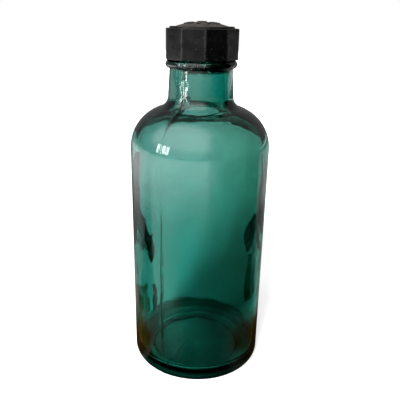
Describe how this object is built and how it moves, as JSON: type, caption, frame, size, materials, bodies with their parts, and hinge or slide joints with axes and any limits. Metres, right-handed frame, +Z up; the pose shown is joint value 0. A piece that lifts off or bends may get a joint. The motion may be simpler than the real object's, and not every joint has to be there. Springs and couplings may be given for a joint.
{
  "type": "glass bottle with screw cap",
  "caption": "Round green glass bottle with a wide body, a short neck and a many-sided screw cap, sealed by a cork wad on the lip.",
  "frame": {"origin": "middle of the ring that the bottle stands on", "axes": "+Z up along the bottle's axis, -Y towards the viewer of the picture"},
  "size_m": [0.075, 0.075, 0.1925],
  "materials": {
    "green_glass": "clear sea-green moulded glass with mould seams, ripples and seeds",
    "waxed_paper": "waxed, with a ring pressed in by the lip",
    "cork": "pressed cork granules, dry",
    "black_phenolic": "moulded black phenolic, dull from age, with fine mottling and worn edges"
  },
  "bodies": {
    "bottle": {"bottle": "green_glass"},
    "liner": {"wad_facing": "waxed_paper", "cork_wad": "cork"},
    "cap": {"screw_cap": "black_phenolic"}
  },
  "joints": [
    {"name": "cap_lift", "type": "slide", "parent": "bottle", "child": "liner", "axis": [0, 0, 1], "range_m": [0, 0.0378]},
    {"name": "cap_turn", "type": "hinge", "parent": "liner", "child": "cap", "pos_m": [0, 0, 0.1795], "axis": [0, 0, 1], "range_deg": [0, 3240]}
  ],
  "couplings": [
    {"joint": "cap_lift", "follows": "cap_turn", "m_per_rad": 0.00066845}
  ]
}
